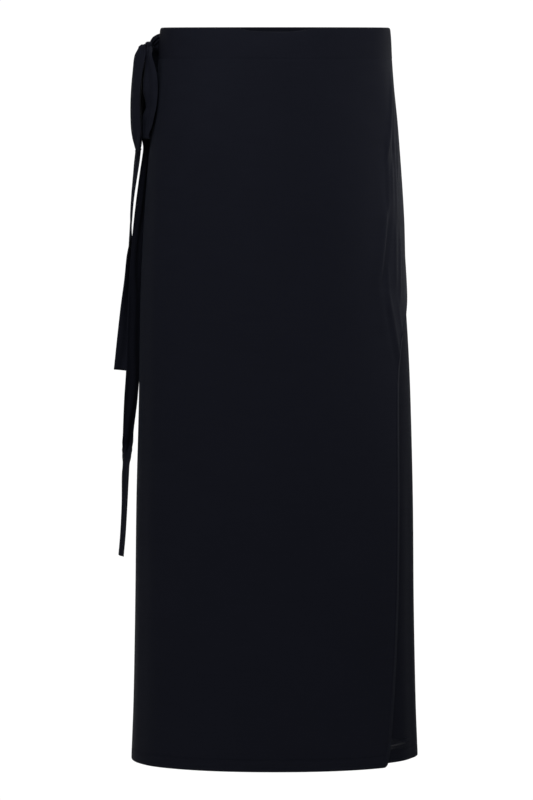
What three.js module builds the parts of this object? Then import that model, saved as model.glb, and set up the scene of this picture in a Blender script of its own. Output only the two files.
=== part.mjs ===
import * as THREE from "three";

// A long wrap skirt of thin jersey, filled out as it is when worn: open at the waist and at the hem.
// Millimetres, +Z up, origin at the centre of the waist, halfway up the waistband at its sides.
// A viewer in front looks along +Y. A turn is an angle in degrees round the body: 0 at the front centre,
// 90 at the viewer's right, -90 at the viewer's left, 180 at the back centre.
// A drop is the distance down from the waistband's top at the sides.

// Driving dimensions
const SKIRT_LENGTH = 944; // the under layer's length at its free edge's side
const OVER_LENGTH = 949; // the over panel hangs this low all round, and the back panel at the seam they share
const BAND_HEIGHT = 40;
const PANEL_WALL = 1.2;
const BAND_WALL = 1.8;
const BAND_PROUD = 0.3; // the folded waistband stands proud of the panel below it
const LAYER_LIFT = 2.6; // the over panel and its band lie this far out on the under layer
const SEAM_GAP = 0.3;
const TIE_WIDTH = 25;
const TIE_WALL = 1.6;
const TIE_CUP = 1.2; // the middle of a tie bulges by this much
const HEM_CORNER = 10; // radius of the over panel's free hem corner
const HEM_RADIUS = 160; // mean radius of the hem's section there
const TOP_EDGE_IN = 0.4; // the waistband's folded top edge turns in by this much
const CLOTH_COLOUR = 0x14151b;

// Where the panels end, as turns
const LEFT_SEAM = -90;
const RIGHT_SEAM = 90;
const BACK_LEFT_SEAM = 270; // the left seam, reached round the back

// The waist dips at the front and rises at the back
const WAIST_TILT = 7.8;
const TILT_ENDS_AT = 360;
const FRONT_SAG = 7; // the top edge sags at the front centre, and leans in there
const FRONT_LEAN = 6;
const SAG_HALF_WIDTH = 46;

// Squareness of the body's horizontal section: 2 is an ellipse
const SECTION_POWER = 2.2;
const NORMAL_STEP = 0.5; // degrees each way over which the section's direction is taken

// Half widths and half depths of the under layer's outer face, by drop
const BODY = [
  { drop: 0, left: 148, right: 146.4, front: 102.5, back: 106.5 },
  { drop: 14, left: 149.1, right: 147.7, front: 104, back: 108 },
  { drop: BAND_HEIGHT, left: 150.4, right: 149, front: 105, back: 110 },
  { drop: 92, left: 155.2, right: 152.9, front: 107, back: 115.5 },
  { drop: 144, left: 161.3, right: 156.8, front: 109, back: 119.5 },
  { drop: 222, left: 167.8, right: 162.1, front: 111, back: 122.5 },
  { drop: 287, left: 171.8, right: 165.6, front: 112.5, back: 123 },
  { drop: 352, left: 174.4, right: 169.6, front: 114, back: 123 },
  { drop: 417, left: 175.7, right: 173.7, front: 116, back: 123.5 },
  { drop: 482, left: 176.6, right: 176.5, front: 118, back: 124 },
  { drop: 612, left: 180, right: 179.8, front: 120.5, back: 125.5 },
  { drop: 742, left: 181.7, right: 181.1, front: 122.5, back: 127 },
  { drop: 872, left: 184.2, right: 183.8, front: 124.5, back: 128.5 },
  { drop: SKIRT_LENGTH, left: 187, right: 186.6, front: 126, back: 130 },
];

// The over panel's free edge, from its tied corner on the back half to the hem
const OVER_EDGE = [
  { drop: 0, turn: 112 },
  { drop: BAND_HEIGHT, turn: 111.5 },
  { drop: 150, turn: 106 },
  { drop: 250, turn: 98.5 },
  { drop: 320, turn: 90.5 },
  { drop: 352, turn: 83.5 },
  { drop: 370, turn: 77.5 },
  { drop: 387, turn: 71.5 },
  { drop: 404, turn: 67 },
  { drop: 424, turn: 64 },
  { drop: 452, turn: 62.2 },
  { drop: 500, turn: 60.9 },
  { drop: 612, turn: 59.7 },
  { drop: 719, turn: 58.6 },
  { drop: 793, turn: 56.6 },
  { drop: 852, turn: 54.3 },
  { drop: 918, turn: 51 },
  { drop: OVER_LENGTH, turn: 49 },
];

// The under panel's free edge, hidden below the over panel
const UNDER_EDGE = [
  { drop: 0, turn: -47 },
  { drop: BAND_HEIGHT, turn: -47 },
  { drop: SKIRT_LENGTH, turn: -36 },
];

const PAST_HEM = 1100; // where the folds that run off the hem would end
const FOLD_FADE = 0.3; // share of its length over which a fold fades at each end

// Soft folds that all the layers share: a ridge has a positive height and a trough a negative one.
// The first two are at the left of the front, the others on the sides and the back.
const BODY_FOLDS = [
  { from: 120, to: PAST_HEM, turnFrom: -59, turnTo: -52, height: 1.6, halfWidth: 7 },
  { from: 190, to: PAST_HEM, turnFrom: -73, turnTo: -70, height: 1.4, halfWidth: 6 },
  { from: 470, to: PAST_HEM, turnFrom: 72, turnTo: 69, height: -1.5, halfWidth: 6 },
  { from: 330, to: PAST_HEM, turnFrom: 108, turnTo: 103, height: 2.6, halfWidth: 8 },
  { from: 240, to: PAST_HEM, turnFrom: 132, turnTo: 127, height: -2.4, halfWidth: 9 },
  { from: 300, to: PAST_HEM, turnFrom: 152, turnTo: 150, height: 3.2, halfWidth: 9 },
  { from: 430, to: PAST_HEM, turnFrom: 181, turnTo: 184, height: -2.2, halfWidth: 11 },
  { from: 260, to: PAST_HEM, turnFrom: 205, turnTo: 209, height: 3.4, halfWidth: 10 },
  { from: 350, to: PAST_HEM, turnFrom: 229, turnTo: 234, height: -2.4, halfWidth: 8 },
  { from: 210, to: PAST_HEM, turnFrom: 250, turnTo: 253, height: 2.2, halfWidth: 7 },
];

// Folds of the over panel alone, where its free edge is pulled back over the hip to the waist
const OVER_FOLDS = [
  { from: 50, to: 260, turnFrom: 68, turnTo: 56, height: 2.2, halfWidth: 7 },
  { from: 205, to: 345, turnFrom: 59.5, turnTo: 47, height: 2.4, halfWidth: 6 },
  { from: 330, to: 450, turnFrom: 53, turnTo: 62.5, height: 2.2, halfWidth: 5.5 },
  { from: 45, to: 330, turnFrom: 98, turnTo: 82, height: 1.8, halfWidth: 6 },
];

// Rows of the grids, as drops
const OVER_ROWS = [
  78, 116, 156, 196, 236, 276, 308, 334, 354, 372, 389, 408,
  432, 470, 530, 600, 675, 750, 815, 868, 911, 937, 943.5, 947, OVER_LENGTH,
];
const UNDER_ROWS = [92, 144, 196, 248, 300, 352, 408, 470, 545, 625, 710, 790, 868, SKIRT_LENGTH];
const COLUMN_STEP = 6; // degrees of turn between columns

// Openings in the left end of the bands, where the under layer's tie comes out
const SLIT = { top: 7.5, bottom: 21.5, halfWidth: 1.7 };

// The knot, a rounded lump just outside the left seam
const KNOT = { x: -162.6, y: -4, z: -4.8, halfX: 5, halfY: 7, halfZ: 6.5, power: 3 };

// The ties, each row a place on its middle line with the direction of its width:
// turn is 0 where the width runs along +X and 90 where its right-hand edge points at the viewer,
// rise is 90 where it stands upright.
const FRONT_LOOP = [
  { x: -168.7, y: -9.5, z: -4.2, turn: 78, rise: 0, width: 10 },
  { x: -171.2, y: -12, z: -4.6, turn: 66, rise: 0, width: 17 },
  { x: -173.5, y: -16, z: -15, turn: 52, rise: 0, width: 24 },
  { x: -177, y: -19, z: -38, turn: 57, rise: 0, width: TIE_WIDTH },
  { x: -179.6, y: -20, z: -62, turn: 60, rise: 0, width: TIE_WIDTH },
  { x: -180.2, y: -20, z: -88, turn: 59, rise: 0, width: TIE_WIDTH },
  { x: -179.2, y: -19.5, z: -112, turn: 58, rise: 0, width: TIE_WIDTH },
  { x: -178.9, y: -17.8, z: -126, turn: 61, rise: 0, width: TIE_WIDTH },
  { x: -177, y: -16.4, z: -131.5, turn: 63, rise: 0, width: 24 },
  { x: -175.3, y: -15.4, z: -126.5, turn: 65, rise: 0, width: 24 },
  { x: -176.1, y: -11.2, z: -108, turn: 69, rise: 0, width: TIE_WIDTH },
  { x: -177, y: -5.5, z: -84, turn: 72, rise: 0, width: TIE_WIDTH },
  { x: -175.6, y: -4, z: -56, turn: 74, rise: 0, width: TIE_WIDTH },
  { x: -172.6, y: -3, z: -32, turn: 76, rise: 0, width: 22 },
  { x: -169.4, y: -2.5, z: -15, turn: 80, rise: 0, width: 14 },
  { x: -168.4, y: -2, z: -9.5, turn: 84, rise: 0, width: 8 },
];
const BACK_LOOP = [
  { x: -162.6, y: -11.8, z: -5.5, turn: 10, rise: 0, width: 8 },
  { x: -162.8, y: -16, z: -9, turn: 30, rise: 0, width: 11 },
  { x: -162.8, y: -22, z: -19, turn: 60, rise: 0, width: 18 },
  { x: -161.2, y: -28, z: -33, turn: 56, rise: 0, width: 24 },
  { x: -160, y: -32, z: -47, turn: 43, rise: 0, width: TIE_WIDTH },
  { x: -159.8, y: -32.5, z: -62, turn: 38, rise: 0, width: TIE_WIDTH },
  { x: -160.2, y: -32, z: -80, turn: 48, rise: 0, width: TIE_WIDTH },
  { x: -162.2, y: -30, z: -96, turn: 54, rise: 0, width: TIE_WIDTH },
  { x: -164.8, y: -26.5, z: -111, turn: 60, rise: 0, width: 22 },
  { x: -166, y: -25.6, z: -119, turn: 62, rise: 0, width: 18 },
  { x: -165.4, y: -24.4, z: -123, turn: 64, rise: 0, width: 17 },
  { x: -164, y: -23.4, z: -118.5, turn: 66, rise: 0, width: 17 },
  { x: -163.6, y: -20, z: -101, turn: 70, rise: 0, width: 19 },
  { x: -163.6, y: -16, z: -76, turn: 72, rise: 0, width: 21 },
  { x: -163.2, y: -13.5, z: -50, turn: 72, rise: 0, width: 21 },
  { x: -162.6, y: -9.5, z: -28, turn: 70, rise: 0, width: 16 },
  { x: -162.4, y: -6, z: -12, turn: 60, rise: 0, width: 8 },
];
const SHORT_TAIL = [
  { x: -164.8, y: 2.7, z: -9.8, turn: 80, rise: 0, width: 7 },
  { x: -166, y: 7, z: -18, turn: 78, rise: 0, width: 15 },
  { x: -168.4, y: 11.5, z: -45, turn: 79, rise: 0, width: 22 },
  { x: -171.4, y: 13, z: -85, turn: 78, rise: 0, width: TIE_WIDTH },
  { x: -175.7, y: 12, z: -124, turn: 74, rise: 0, width: TIE_WIDTH },
  { x: -179.8, y: 10, z: -150, turn: 76, rise: 0, width: TIE_WIDTH },
  { x: -182.2, y: 9, z: -176, turn: 80, rise: 0, width: TIE_WIDTH },
  { x: -184.3, y: 9, z: -202, turn: 82, rise: 0, width: TIE_WIDTH },
  { x: -186, y: 10, z: -228, turn: 85, rise: 0, width: TIE_WIDTH },
  { x: -186.7, y: 12, z: -250, turn: 93, rise: 0, width: TIE_WIDTH },
  { x: -187, y: 15, z: -274, turn: 115, rise: 0, width: TIE_WIDTH },
  { x: -187.2, y: 18, z: -306, turn: 134, rise: 0, width: TIE_WIDTH },
  { x: -189, y: 21, z: -345, turn: 155, rise: 0, width: TIE_WIDTH },
  { x: -192.2, y: 22, z: -385, turn: 167, rise: 0, width: TIE_WIDTH },
  { x: -195.9, y: 22, z: -424.5, turn: 172, rise: 0, width: TIE_WIDTH },
];
const LONG_TAIL = [
  { x: -160.4, y: 3.2, z: -10.2, turn: -80, rise: 0, width: 7 },
  { x: -159.8, y: 7, z: -22, turn: -77, rise: 0, width: 16 },
  { x: -161, y: 10.5, z: -52, turn: -76, rise: 0, width: 23 },
  { x: -163.4, y: 10, z: -92, turn: -73, rise: 0, width: TIE_WIDTH },
  { x: -166.8, y: 9, z: -129, turn: -67, rise: 0, width: TIE_WIDTH },
  { x: -170.8, y: 8, z: -171, turn: -64, rise: 0, width: TIE_WIDTH },
  { x: -174.6, y: 7, z: -212, turn: -61, rise: 0, width: TIE_WIDTH },
  { x: -178.1, y: 6, z: -250, turn: -56, rise: 0, width: TIE_WIDTH },
  { x: -182.4, y: 6, z: -306, turn: -52, rise: 0, width: TIE_WIDTH },
  { x: -185.3, y: 6, z: -365, turn: -48, rise: 0, width: TIE_WIDTH },
  { x: -187.1, y: 6, z: -425, turn: -47, rise: 0, width: TIE_WIDTH },
  { x: -188.5, y: 6, z: -462, turn: -48, rise: 0, width: TIE_WIDTH },
  { x: -191, y: 6, z: -501, turn: -59, rise: 0, width: TIE_WIDTH },
  { x: -192.4, y: 6, z: -522, turn: -72, rise: 0, width: TIE_WIDTH },
  { x: -193.8, y: 6, z: -541, turn: -113, rise: 0, width: TIE_WIDTH },
  { x: -194.8, y: 5, z: -562, turn: -114, rise: 0, width: TIE_WIDTH },
  { x: -195.8, y: 5, z: -600, turn: -110, rise: 0, width: TIE_WIDTH },
  { x: -197.9, y: 4, z: -638, turn: -109, rise: 0, width: TIE_WIDTH },
  { x: -200.3, y: 4, z: -665.5, turn: -108, rise: 0, width: TIE_WIDTH },
];

// A tie laid on the waistband, by turn, with the distance of its middle out from the under layer's face
const AROUND_BACK = [
  { turn: 112.6, drop: 20, out: 1.6, width: TIE_WIDTH },
  { turn: 118, drop: 20, out: 1.6, width: TIE_WIDTH },
  { turn: 150, drop: 20, out: 1.6, width: TIE_WIDTH },
  { turn: 185, drop: 20, out: 1.6, width: TIE_WIDTH },
  { turn: 220, drop: 19, out: 1.6, width: 24 },
  { turn: 240, drop: 17.5, out: 1.7, width: 20 },
  { turn: 254, drop: 15, out: 2, width: 14 },
  { turn: 260, drop: 14.5, out: 3.4, width: 11 },
];
const AROUND_BACK_END = [
  { x: -157.6, y: 11.5, z: 2.4, turn: 0, rise: 88, width: 9 },
  { x: -160.6, y: 7, z: -1.2, turn: 0, rise: 88, width: 8 },
  { x: -162, y: 4.4, z: -3, turn: 0, rise: 88, width: 8 },
];
const THROUGH_SLIT = [
  { turn: -47.5, drop: 20, out: -0.6, width: TIE_WIDTH },
  { turn: -56, drop: 20, out: -1.8, width: TIE_WIDTH },
  { turn: -68, drop: 18.5, out: -3.2, width: 21 },
  { turn: -78, drop: 16, out: -3.6, width: 15 },
  { turn: -85.5, drop: 14.4, out: -3.6, width: 10 },
];
const THROUGH_SLIT_END = [
  { x: -145.7, y: -3, z: 6, turn: 0, rise: 90, width: 9 },
  { x: -146.1, y: -1.2, z: 6, turn: 0, rise: 90, width: 8.5 },
  { x: -147.6, y: -0.2, z: 5.9, turn: 0, rise: 90, width: 8 },
  { x: -150, y: -0.2, z: 5.4, turn: 0, rise: 90, width: 8 },
  { x: -152.6, y: -0.6, z: 4, turn: 0, rise: 90, width: 7.5 },
  { x: -156.2, y: -2.2, z: -0.8, turn: 0, rise: 88, width: 7.5 },
];

const radians = THREE.MathUtils.degToRad;
const smooth = THREE.MathUtils.smoothstep;

// A smooth curve through one column of a table, read at a value of its first column.
function readTable(table, by, key, value) {
  const last = table.length - 1;
  let i = 0;
  while (i < last - 1 && value > table[i + 1][by]) i += 1;
  const slope = (k) => {
    const before = table[Math.max(k - 1, 0)];
    const after = table[Math.min(k + 1, last)];
    return (after[key] - before[key]) / (after[by] - before[by]);
  };
  const a = table[i];
  const b = table[i + 1];
  const span = b[by] - a[by];
  const t = THREE.MathUtils.clamp((value - a[by]) / span, 0, 1);
  const blend = t * t * (3 - 2 * t);
  const tangents = t * (1 - t) * ((1 - t) * slope(i) - t * slope(i + 1)) * span;
  return a[key] * (1 - blend) + b[key] * blend + tangents;
}

const body = (drop, key) => readTable(BODY, "drop", key, drop);
const overEdge = (drop) => readTable(OVER_EDGE, "drop", "turn", drop);
const underEdge = (drop) => readTable(UNDER_EDGE, "drop", "turn", drop);

// Height of a table's folds at a place: each is a rounded ridge across, and fades out at both ends.
function foldHeight(folds, turn, drop) {
  let height = 0;
  for (const fold of folds) {
    if (drop < fold.from || drop > fold.to) continue;
    const along = (drop - fold.from) / (fold.to - fold.from);
    const middle = THREE.MathUtils.lerp(fold.turnFrom, fold.turnTo, along);
    const across = (((turn - middle + 540) % 360) - 180) / fold.halfWidth;
    const fade = smooth(along, 0, FOLD_FADE) * (1 - smooth(along, 1 - FOLD_FADE, 1));
    height += fold.height * fade * Math.exp(-across * across);
  }
  return height;
}

// The body's section at a drop is a squared ellipse, with its own half width and depth for each side.
function sectionPoint(turn, drop) {
  const s = Math.sin(radians(turn));
  const c = Math.cos(radians(turn));
  const round = (Math.abs(s) ** SECTION_POWER + Math.abs(c) ** SECTION_POWER) ** (-1 / SECTION_POWER);
  const halfWidth = s > 0 ? body(drop, "right") : body(drop, "left");
  const halfDepth = c > 0 ? body(drop, "front") : body(drop, "back");
  return new THREE.Vector2(halfWidth * s * round, -halfDepth * c * round);
}

// A place on the skirt, moved out from the under layer's outer face along the section's own normal.
function skirtPoint(turn, drop, out) {
  const at = sectionPoint(turn, drop);
  const before = sectionPoint(turn - NORMAL_STEP, drop);
  const along = sectionPoint(turn + NORMAL_STEP, drop).sub(before).normalize();
  const depth = at.y / body(drop, at.y < 0 ? "front" : "back");
  const inFront = at.y < 0 ? 1 : 0;
  const nearCentre = inFront * Math.exp(-((at.x / SAG_HALF_WIDTH) ** 2));
  const nearTop = Math.max(0, 1 - drop / BAND_HEIGHT) ** 2;
  const total = out + foldHeight(BODY_FOLDS, turn, drop) - FRONT_LEAN * nearCentre * nearTop;
  const tilt = WAIST_TILT * depth * Math.max(0, 1 - drop / TILT_ENDS_AT) ** 2;
  return new THREE.Vector3(
    at.x + along.y * total,
    at.y - along.x * total,
    BAND_HEIGHT / 2 - drop + tilt - FRONT_SAG * nearCentre * nearTop,
  );
}

// The over layer comes down to the level of the back panel at the left seam, past the under panel's end.
const LIFT = { none: -76, full: -52 };
const overLift = (turn) => LAYER_LIFT * smooth(turn, LIFT.none, LIFT.full);

const overOut = (turn, drop) => overLift(turn) + foldHeight(OVER_FOLDS, turn, drop);

// Closes two like grids of points, an outer and an inner one, into one solid wall.
function wallGeometry(outer, inner) {
  const rows = outer.length;
  const columns = outer[0].length;
  const positions = [];
  for (const side of [outer, inner]) {
    for (const row of side) {
      for (const point of row) positions.push(point.x, point.y, point.z);
    }
  }
  const at = (side, row, column) => (side * rows + row) * columns + column;
  const faces = [];
  const quad = (a, b, c, d) => faces.push(a, b, c, a, c, d);
  for (let r = 0; r < rows - 1; r += 1) {
    for (let c = 0; c < columns - 1; c += 1) {
      quad(at(0, r, c), at(0, r + 1, c), at(0, r + 1, c + 1), at(0, r, c + 1));
      quad(at(1, r, c), at(1, r, c + 1), at(1, r + 1, c + 1), at(1, r + 1, c));
    }
    quad(at(0, r, 0), at(1, r, 0), at(1, r + 1, 0), at(0, r + 1, 0));
    const end = columns - 1;
    quad(at(0, r, end), at(0, r + 1, end), at(1, r + 1, end), at(1, r, end));
  }
  for (let c = 0; c < columns - 1; c += 1) {
    quad(at(0, 0, c), at(0, 0, c + 1), at(1, 0, c + 1), at(1, 0, c));
    const foot = rows - 1;
    quad(at(0, foot, c), at(1, foot, c), at(1, foot, c + 1), at(0, foot, c + 1));
  }
  const geometry = new THREE.BufferGeometry();
  geometry.setAttribute("position", new THREE.Float32BufferAttribute(positions, 3));
  geometry.setIndex(faces);
  return faceOutwards(geometry);
}

// Turns every face round where the solid's volume comes out negative.
function faceOutwards(geometry) {
  const position = geometry.getAttribute("position");
  const index = geometry.getIndex();
  const [a, b, c] = [new THREE.Vector3(), new THREE.Vector3(), new THREE.Vector3()];
  let volume = 0;
  for (let i = 0; i < index.count; i += 3) {
    a.fromBufferAttribute(position, index.getX(i));
    b.fromBufferAttribute(position, index.getX(i + 1));
    c.fromBufferAttribute(position, index.getX(i + 2));
    volume += a.dot(b.cross(c));
  }
  if (volume < 0) {
    for (let i = 0; i < index.count; i += 3) {
      const second = index.getX(i + 1);
      index.setX(i + 1, index.getX(i + 2));
      index.setX(i + 2, second);
    }
  }
  geometry.computeVertexNormals();
  return geometry;
}

// Columns at the same even turns in every layer, after an exact first one, so that their faces lie alike.
function evenColumns(start, end) {
  const turns = [start];
  const way = Math.sign(end - start);
  const first = Math.round(start / COLUMN_STEP) * COLUMN_STEP + way * COLUMN_STEP;
  for (let turn = first; way * (end - turn) > COLUMN_STEP / 2; turn += way * COLUMN_STEP) {
    turns.push(turn);
  }
  return turns.map((turn) => () => turn);
}

// Columns from a fixed turn to a free edge whose turn changes with the drop.
function columnsToEdge(start, edge, fractions) {
  return fractions.map((fraction) => (drop) => THREE.MathUtils.lerp(start, edge(drop), fraction));
}

// One panel or band: its rows are drops, and each column gives its turn at a drop.
function sheetGeometry({ rows, columns, faceOut, wall, foot }) {
  const grid = (sunk) =>
    rows.map((rowDrop) =>
      columns.map((column) => {
        const drop = foot ? foot(rowDrop, column) : rowDrop;
        const turn = column(drop);
        return skirtPoint(turn, drop, faceOut(turn, drop) - sunk);
      }),
    );
  return wallGeometry(grid(0), grid(wall));
}

// Half of a seam's gap and of the slit as turns: the skirt's side is about its half depth from the axis.
const SIDE_RADIUS = body(BAND_HEIGHT, "front");
const SEAM_TURN = SEAM_GAP / 2 / radians(SIDE_RADIUS);
const SLIT_TURN = SLIT.halfWidth / radians(SIDE_RADIUS);
const PANEL_TOP = BAND_HEIGHT + SEAM_GAP;

const backColumns = (leftEnd) => [
  ...evenColumns(RIGHT_SEAM + SEAM_TURN, BACK_LEFT_SEAM),
  leftEnd,
];

// The back panel's hem comes down from the under layer's at the right seam to the over panel's at the left one.
const SLANT_FROM = 868;
function slantedFoot(rowDrop, column) {
  const across = smooth(column(rowDrop), RIGHT_SEAM, BACK_LEFT_SEAM);
  return rowDrop + (OVER_LENGTH - SKIRT_LENGTH) * across * smooth(rowDrop, SLANT_FROM, SKIRT_LENGTH);
}

function backPanel() {
  return sheetGeometry({
    rows: [PANEL_TOP, ...UNDER_ROWS],
    columns: backColumns(() => BACK_LEFT_SEAM - SEAM_TURN),
    faceOut: () => 0,
    wall: PANEL_WALL,
    foot: slantedFoot,
  });
}

// The columns are even up to these turns, and from there at these shares of the way to the free edge.
const UNDER_EVEN_TO = -24;
const OVER_EVEN_TO = 36;
const UNDER_SHARES = [0, 0.35, 0.7, 1];
const OVER_SHARES = [0, 0.14, 0.28, 0.42, 0.56, 0.7, 0.83, 0.93, 0.97, 0.99, 1];
const underColumns = [
  ...evenColumns(RIGHT_SEAM - SEAM_TURN, UNDER_EVEN_TO),
  ...columnsToEdge(UNDER_EVEN_TO, underEdge, UNDER_SHARES),
];

function underPanel() {
  return sheetGeometry({
    rows: [PANEL_TOP, ...UNDER_ROWS],
    columns: underColumns,
    faceOut: () => 0,
    wall: PANEL_WALL,
  });
}

// The over panel's hem rises in a quarter circle at its free corner, and the rows above ease back to level.
const CORNER_ROWS_FROM = 4 * HEM_CORNER;
function roundedFoot(rowDrop, column) {
  const lowPart = smooth(rowDrop, OVER_LENGTH - CORNER_ROWS_FROM, OVER_LENGTH);
  const toEdge = radians(overEdge(OVER_LENGTH) - column(OVER_LENGTH)) * HEM_RADIUS;
  const inCorner = Math.max(HEM_CORNER - toEdge, 0);
  return rowDrop - (HEM_CORNER - Math.sqrt(HEM_CORNER ** 2 - inCorner ** 2)) * lowPart;
}

function overPanel() {
  return sheetGeometry({
    rows: [PANEL_TOP, ...OVER_ROWS],
    columns: [
      ...evenColumns(LEFT_SEAM + SEAM_TURN, OVER_EVEN_TO),
      ...columnsToEdge(OVER_EVEN_TO, overEdge, OVER_SHARES),
    ],
    faceOut: overOut,
    wall: PANEL_WALL,
    foot: roundedFoot,
  });
}

// A band's rows, with a pair close together above and below the slit so that its ends are square.
const SLIT_LIP = 0.5;
const BAND_ROWS = [0, 2.5, SLIT.top - SLIT_LIP, SLIT.top, SLIT.bottom, SLIT.bottom + SLIT_LIP, BAND_HEIGHT];
const leftRecess = (drop) => (drop >= SLIT.top && drop <= SLIT.bottom ? SLIT_TURN : SEAM_TURN);

// The band's folded top edge is a little thinner than the band.
const bandFace = (drop) => BAND_PROUD - (drop === 0 ? TOP_EDGE_IN : 0);

function bandGeometry(columns, lift) {
  return sheetGeometry({
    rows: BAND_ROWS,
    columns,
    faceOut: (turn, drop) => lift(turn) + bandFace(drop),
    wall: BAND_WALL,
  });
}

const backWaistband = () =>
  bandGeometry(backColumns((drop) => BACK_LEFT_SEAM - leftRecess(drop)), () => 0);

const underWaistband = () =>
  bandGeometry([...evenColumns(RIGHT_SEAM - SEAM_TURN, underEdge(0)), underEdge], () => 0);

const overWaistband = () =>
  bandGeometry(
    [(drop) => LEFT_SEAM + leftRecess(drop), ...evenColumns(LEFT_SEAM, overEdge(0)).slice(1), overEdge],
    overLift,
  );

// Rows of a tie that is laid on the waistband, closer together than its table's and with an upright width.
function laidRows(table) {
  const span = table.at(-1).turn - table[0].turn;
  const count = Math.ceil(Math.abs(span) / COLUMN_STEP);
  const way = Math.sign(span);
  const byWay = table.map((row) => ({ ...row, way: way * row.turn }));
  return Array.from({ length: count + 1 }, (_, i) => {
    const turn = table[0].turn + (span * i) / count;
    const read = (key) => readTable(byWay, "way", key, way * turn);
    const halfWidth = read("width") / 2;
    const place = (drop) => skirtPoint(turn, drop, read("out"));
    const across = place(read("drop") - halfWidth).sub(place(read("drop") + halfWidth)).normalize();
    return stripRow(place(read("drop")), across, read("width"));
  });
}

const stripRow = (at, across, width) => {
  const [acrossX, acrossY, acrossZ] = across.toArray();
  return { x: at.x, y: at.y, z: at.z, acrossX, acrossY, acrossZ, width };
};

// Rows of a tie that hangs free, whose width's direction its table gives as a turn and a rise.
function freeRows(table) {
  return table.map(({ x, y, z, turn, rise, width }) => {
    const across = new THREE.Vector3().setFromSphericalCoords(1, radians(90 - rise), radians(90 + turn));
    return stripRow({ x, y, z }, new THREE.Vector3(across.x, across.z, across.y), width);
  });
}

// A tie: a flat strip on a smooth curve through its rows, its width square to the curve, its middle cupped.
function tieGeometry(rows, steps) {
  const path = new THREE.CatmullRomCurve3(
    rows.map((row) => new THREE.Vector3(row.x, row.y, row.z)),
    false,
    "centripetal",
  );
  const numbered = rows.map((row, number) => ({ number, ...row }));
  const strip = { outer: [], inner: [] };
  for (let i = 0; i <= steps; i += 1) {
    const t = i / steps;
    const read = (key) => readTable(numbered, "number", key, t * (rows.length - 1));
    const middle = path.getPoint(t);
    const along = path.getTangent(t);
    const across = new THREE.Vector3(read("acrossX"), read("acrossY"), read("acrossZ"));
    across.addScaledVector(along, -across.dot(along)).normalize();
    const normal = new THREE.Vector3().crossVectors(along, across);
    const width = read("width");
    const cup = (TIE_CUP * width) / TIE_WIDTH;
    const line = (side) =>
      [-1, 0, 1].map((place) =>
        middle
          .clone()
          .addScaledVector(across, (place * width) / 2)
          .addScaledVector(normal, (side * TIE_WALL) / 2 + (place ? 0 : cup)),
      );
    strip.outer.push(line(1));
    strip.inner.push(line(-1));
  }
  return wallGeometry(strip.outer, strip.inner);
}

// The knot: a ball squared up by a power, with a half size of its own along each axis.
function knotGeometry() {
  const geometry = new THREE.SphereGeometry(1, 20, 12);
  geometry.deleteAttribute("uv");
  geometry.deleteAttribute("normal");
  const position = geometry.getAttribute("position");
  for (let i = 0; i < position.count; i += 1) {
    const [x, y, z] = [position.getX(i), position.getY(i), position.getZ(i)];
    const powers = [x, y, z].map((value) => Math.abs(value) ** KNOT.power);
    const size = (powers[0] + powers[1] + powers[2]) ** (1 / KNOT.power);
    position.setXYZ(i, (KNOT.halfX * x) / size, (KNOT.halfY * y) / size, (KNOT.halfZ * z) / size);
  }
  return geometry;
}

const skirt = new THREE.Group();
const jersey = () => new THREE.MeshStandardMaterial({ color: CLOTH_COLOUR, roughness: 0.85, metalness: 0 });

function addPiece(name, geometry) {
  const mesh = new THREE.Mesh(geometry, jersey());
  mesh.name = name;
  skirt.add(mesh);
  return mesh;
}

addPiece("back_panel", backPanel());
addPiece("under_panel", underPanel());
addPiece("over_panel", overPanel());
addPiece("back_waistband", backWaistband());
addPiece("under_waistband", underWaistband());
addPiece("over_waistband", overWaistband());

// The stretches of the ties, each with the number of steps along it
const TIES = {
  tie_around_back: { rows: [...laidRows(AROUND_BACK), ...freeRows(AROUND_BACK_END)], steps: 42 },
  tie_through_slit: { rows: [...laidRows(THROUGH_SLIT), ...freeRows(THROUGH_SLIT_END)], steps: 30 },
  bow_front_loop: { rows: freeRows(FRONT_LOOP), steps: 44 },
  bow_back_loop: { rows: freeRows(BACK_LOOP), steps: 44 },
  bow_short_tail: { rows: freeRows(SHORT_TAIL), steps: 36 },
  bow_long_tail: { rows: freeRows(LONG_TAIL), steps: 44 },
};
for (const [name, { rows, steps }] of Object.entries(TIES)) addPiece(name, tieGeometry(rows, steps));

const knot = addPiece("bow_knot", knotGeometry());
knot.position.set(KNOT.x, KNOT.y, KNOT.z);

export default skirt;
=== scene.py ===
"""A long wrap skirt of fine blue-black jersey, held open as it is when worn.

Cloth lengths are millimetres and become metres when a piece is made. A turn is an angle in degrees round the
body: 0 at the front centre, 90 at the viewer's right, -90 at the viewer's left, 180 at the back centre. A drop
is the distance down from the waistband's top at the sides.
"""
from collections import namedtuple

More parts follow.
